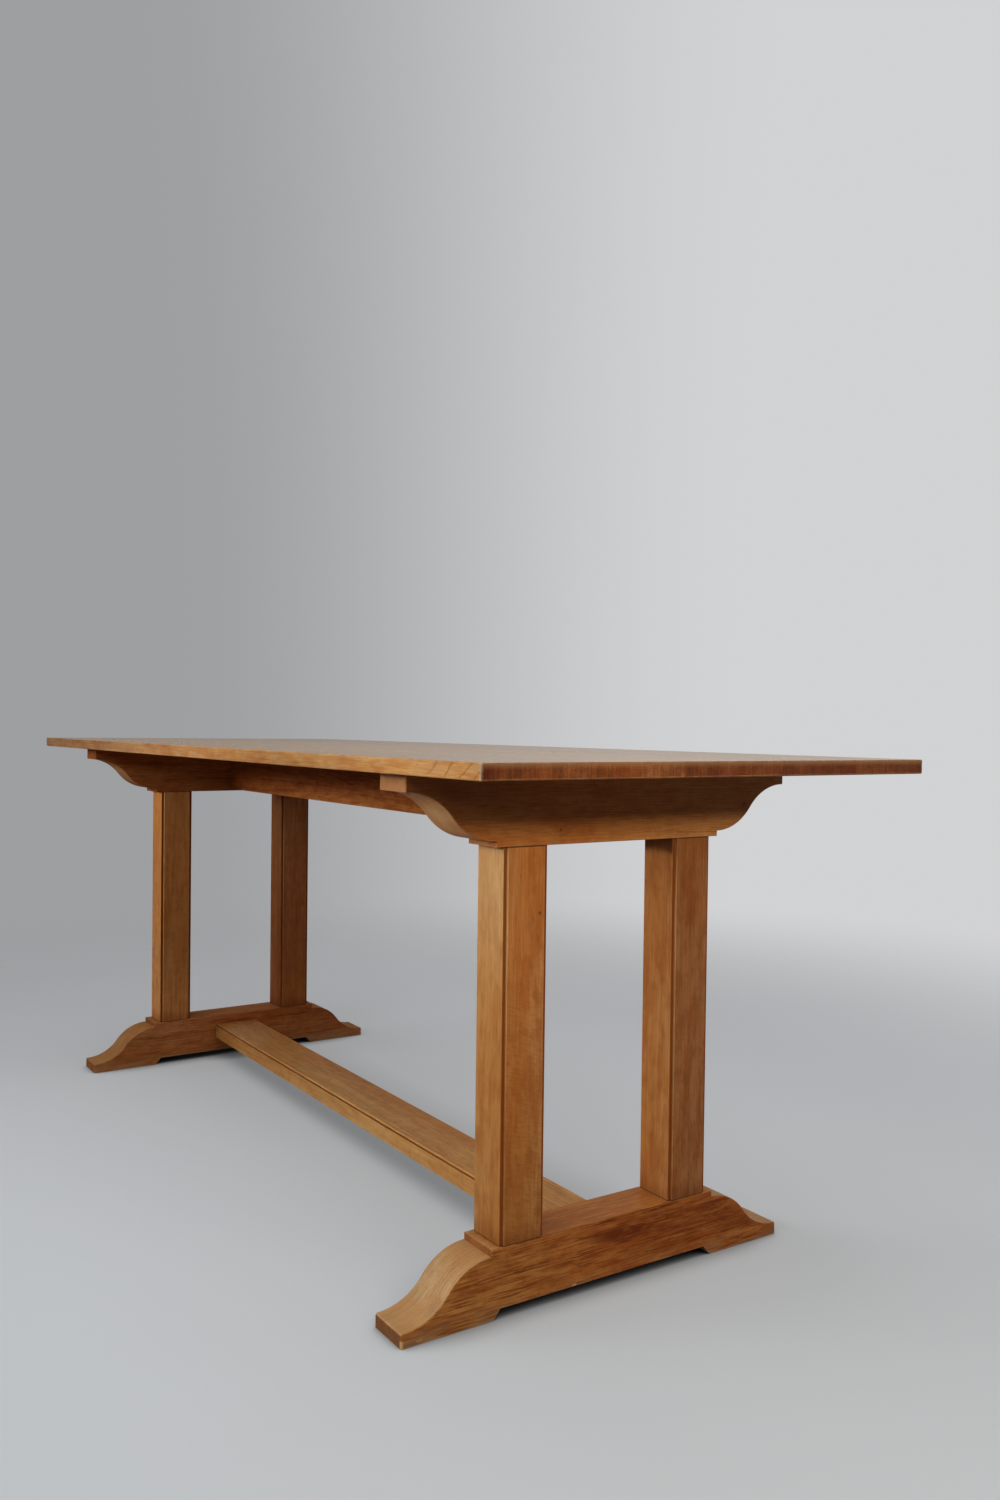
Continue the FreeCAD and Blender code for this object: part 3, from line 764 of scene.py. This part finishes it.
def weathered_with_painted_light(n, name, look, at, colour):
    """The piece as it is after years of use, with painted light, shade and sheen on some faces."""
    patchy = n.layer(at.fibre, PATCHY, look.seed)
    colour = n.mix(1.0, colour, look.tone + (1.0,), "MULTIPLY")
    colour = cut_ends(n, name, look, at, colour)
    colour = worn_and_shaded_edges(n, name, look, at, colour, patchy)
    if name == "top_board_1":
        colour = run_out(n, look, at, colour)
    colour = handled_and_shaded(n, name, at, colour, patchy)
    colour = patched(n, at, colour, PATCHES.get(name, ()))
    if name in LEDGES:
        colour = ledge_wax(n, LEDGES[name], at, colour)
    if name in JOINTS:
        colour = joint_lines(n, JOINTS[name], at, colour)
    return marked(n, at, colour, MARKS.get(name, ()))


def oak(name, look, shine, knots=()):
    """Waxed oak: growth rings about the pith, open pores, ray flecks, streaks, end grain, worn arrises."""
    material, n = new_material("oak_" + name)
    at = locate(n, look)
    marks = growth(n, look, at, knots)
    colour = weathered_with_painted_light(n, name, look, at, grown_colour(n, look, at, marks, knots))
    rough = n.span(at.normal[2], *ABOVE_FACING, shine.rough, shine.rough_above)
    rough = n.math("MULTIPLY_ADD", marks.broad, BROAD_ROUGH, rough)
    rough = n.math("MULTIPLY_ADD", marks.pores, PORE_ROUGH, rough)
    height = n.math("MULTIPLY_ADD", marks.early, EARLY_HEIGHT, n.math("MULTIPLY", marks.silk, SILK_HEIGHT))
    height = n.math("MULTIPLY_ADD", marks.pores, PORE_HEIGHT, height)
    bump = n.add("Bump", {"Strength": BUMP_STRENGTH, "Distance": BUMP_DISTANCE, "Height": height})
    surface = n.add("BsdfPrincipled", {
        "Base Color": colour,
        "Roughness": rough,
        "Normal": bump,
        "IOR": WAX_IOR,
        "Specular IOR Level": shine.specular,
    })
    n.add("OutputMaterial", {"Surface": surface})
    return material


def steel(name):
    """Dulled steel, with fine scratches and a little brown in them."""
    material, n = new_material(name)
    place = n.add("TexCoord", out="Object")
    tarnish = n.layer(place, TARNISH)
    scratches = n.layer(place, SCRATCHES)
    colour = n.mix(n.span(tarnish, *TARNISH_RISE), STEEL, STEEL_BROWN)
    rough = n.math("MULTIPLY_ADD", scratches, SCRATCH_ROUGH, n.span(tarnish, *TARNISH_ROUGH))
    relief = {"Strength": SCRATCH_STRENGTH, "Distance": SCRATCH_DISTANCE, "Height": scratches}
    inputs = {"Base Color": colour, "Roughness": rough, "Normal": n.add("Bump", relief), "Metallic": 1.0}
    n.add("OutputMaterial", {"Surface": n.add("BsdfPrincipled", inputs)})
    return material


def make_materials():
    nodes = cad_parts
    for name, look in LOOKS.items():
        shine = FRAME_SHINE
        if name.startswith("top"):
            shine = TOP_SHINE
        elif name.startswith("left") or name == "centre_rail":
            shine = DULL_SHINE
        nodes[name].material_slots[0].material = oak(name, look, shine, KNOTS.get(name, ()))
    bare = oak("tongues", TONGUE_LOOK, DULL_SHINE)
    dulled = steel("dulled_steel")
    for name, node in nodes.items():
        if name.startswith("top_tongue"):
            node.material_slots[0].material = bare
        elif name.endswith("screws"):
            node.material_slots[0].material = dulled


def seen(n):
    """1 on rays that the eye follows: straight, mirrored or through glass."""
    path = n.tree.nodes.new("ShaderNodeLightPath").outputs
    mirrored = n.math("MAXIMUM", path["Is Glossy Ray"], path["Is Transmission Ray"])
    return n.math("MAXIMUM", path["Is Camera Ray"], mirrored)


def make_world():
    world = bpy.data.worlds.new("studio")
    world.use_nodes = True
    n = Nodes(world.node_tree)
    direction = n.add("TexCoord", out="Generated")
    ambient = n.mix(n.span(n.split(direction)[2], *AMBIENT_SPAN), AMBIENT_LOW, AMBIENT_HIGH)
    aside = n.dot(direction, BACKDROP_SIDE)
    backdrop = n.mix(n.span(aside, *BACKDROP_SPAN), BACKDROP_DIM, BACKDROP_BRIGHT)
    colour = n.mix(seen(n), ambient, backdrop)
    n.add("OutputWorld", {"Surface": n.add("Background", {"Color": colour, "Strength": 1.0})})
    bpy.context.scene.world = world


def floor_material():
    """Pale and plain, faded out far from the table, and see-through from beneath."""
    material, n = new_material("pale_floor")
    away = n.length(n.add("TexCoord", out="Object"))
    reach = {"Distance": FLOOR_SHADE_REACH}
    shade = n.span(n.add("AmbientOcclusion", reach, out="AO", samples=FLOOR_SHADE_SAMPLES), *FLOOR_SHADE)
    shaded = n.mix(shade, BLACK, FLOOR_SEEN)
    lit = n.add("BsdfDiffuse", {"Color": n.mix(seen(n), FLOOR_BOUNCE, shaded)})
    glow = n.add("Emission", {"Color": n.mix(shade, BLACK, FLOOR_GLOW)})
    lit = n.add("MixShader", {0: n.math("MULTIPLY", seen(n), FLOOR_GLOW_SHARE), 1: lit, 2: glow})
    beneath = n.add("NewGeometry", out="Backfacing")
    fade = n.math("MAXIMUM", n.span(away, *FLOOR_FADE), beneath)
    surface = n.add("MixShader", {0: fade, 1: lit, 2: n.add("BsdfTransparent")})
    n.add("OutputMaterial", {"Surface": surface})
    return material


def make_floor():
    mesh = bpy.data.meshes.new("floor")
    shape = bmesh.new()
    bmesh.ops.create_circle(shape, cap_ends=True, segments=FLOOR_SIDES, radius=FLOOR_RADIUS)
    shape.to_mesh(mesh)
    shape.free()
    floor = bpy.data.objects.new("floor", mesh)
    floor.location.z = -FLOOR_DROP
    bpy.context.scene.collection.objects.link(floor)
    mesh.materials.append(floor_material())


def softbox(lamp):
    light = bpy.data.lights.new(lamp.name, "AREA")
    light.shape = "RECTANGLE"
    light.size, light.size_y = lamp.size
    light.energy = lamp.watts
    light.color = lamp.colour
    light.spread = math.radians(lamp.spread)
    box = bpy.data.objects.new(lamp.name, light)
    box.location = lamp.place
    box.rotation_mode = "QUATERNION"
    box.rotation_quaternion = (Vector(lamp.target) - Vector(lamp.place)).to_track_quat("-Z", "Y")
    box.visible_camera = False
    box.visible_glossy = False
    bpy.context.scene.collection.objects.link(box)


def make_camera():
    right = Vector(CAMERA_RIGHT).normalized()
    forward = Vector(CAMERA_FORWARD)
    forward = (forward - right * forward.dot(right)).normalized()
    up = right.cross(forward)
    data = bpy.data.cameras.new("camera")
    data.sensor_fit = "AUTO"
    data.sensor_width = SENSOR_LONG_SIDE
    data.lens = CAMERA_FOCAL_PIXELS * SENSOR_LONG_SIDE / IMAGE_LONG_SIDE
    data.clip_start, data.clip_end = CAMERA_CLIP
    camera = bpy.data.objects.new("camera", data)
    turned = Matrix((right, up, -forward)).transposed().to_4x4()
    camera.matrix_world = Matrix.Translation(CAMERA_PLACE) @ turned
    bpy.context.scene.collection.objects.link(camera)
    bpy.context.scene.camera = camera


make_materials()
make_world()
make_floor()
for lamp in LAMPS:
    softbox(lamp)
make_camera()
bpy.context.scene.view_settings.view_transform = "Standard"
